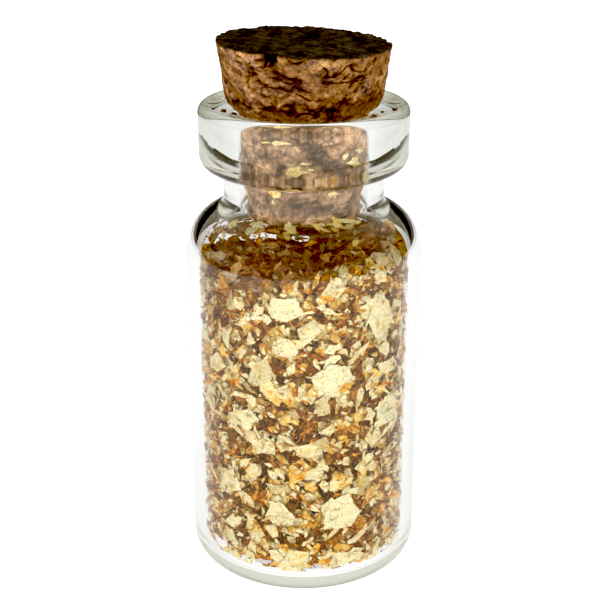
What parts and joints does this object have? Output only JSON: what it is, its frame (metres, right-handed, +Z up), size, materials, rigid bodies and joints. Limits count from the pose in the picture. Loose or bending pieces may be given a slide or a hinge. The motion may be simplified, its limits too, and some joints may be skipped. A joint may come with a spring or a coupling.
{
  "type": "sample vial",
  "caption": "Small round glass vial with a flanged lip, a tapered cork stopper that pulls out, and a fill of loose gold-leaf flakes.",
  "frame": {"origin": "centre of the base, on the plane that the vial stands on", "axes": "+Z up the vial's axis to the cork, -Y the front"},
  "size_m": [0.022, 0.022, 0.0508],
  "materials": {
    "clear_glass": "clear, polished, faint grey-green tint at the lip",
    "natural_cork": "raw natural cork with dark cracks and pores",
    "gold_leaf": "crinkled metal leaf, bright with amber shadows",
    "loose_gold_leaf": null
  },
  "bodies": {
    "vial": {"glass_vial": "clear_glass", "shoulder_flakes": "gold_leaf", "lip_flake": "gold_leaf", "cork_crumbs": "natural_cork"},
    "stopper": {"cork_stopper": "natural_cork", "neck_flakes": "gold_leaf"},
    "contents": {"flake_fill": "loose_gold_leaf", "large_flake_01": "gold_leaf", "large_flake_02": "gold_leaf", "large_flake_03": "gold_leaf", "large_flake_04": "gold_leaf", "large_flake_05": "gold_leaf", "large_flake_06": "gold_leaf", "large_flake_07": "gold_leaf", "large_flake_08": "gold_leaf", "large_flake_09": "gold_leaf", "large_flake_10": "gold_leaf", "large_flake_11": "gold_leaf", "large_flake_12": "gold_leaf", "large_flake_13": "gold_leaf", "large_flake_14": "gold_leaf", "large_flake_15": "gold_leaf", "large_flake_16": "gold_leaf", "large_flake_17": "gold_leaf", "large_flake_18": "gold_leaf", "large_flake_19": "gold_leaf", "large_flake_20": "gold_leaf", "medium_flakes_lower": "gold_leaf", "small_flakes_lower": "gold_leaf", "medium_flakes_middle": "gold_leaf", "small_flakes_middle": "gold_leaf", "medium_flakes_upper": "gold_leaf", "small_flakes_upper": "gold_leaf", "heap_flakes": "gold_leaf"}
  },
  "joints": [
    {"name": "cork_pull", "type": "slide", "parent": "vial", "child": "stopper", "axis": [0, 0, 1], "range_m": [0, 0.018]},
    {"name": "contents_shift", "type": "slide", "parent": "vial", "child": "contents", "axis": [0, 0, 1], "range_m": [0, 0.001]}
  ]
}
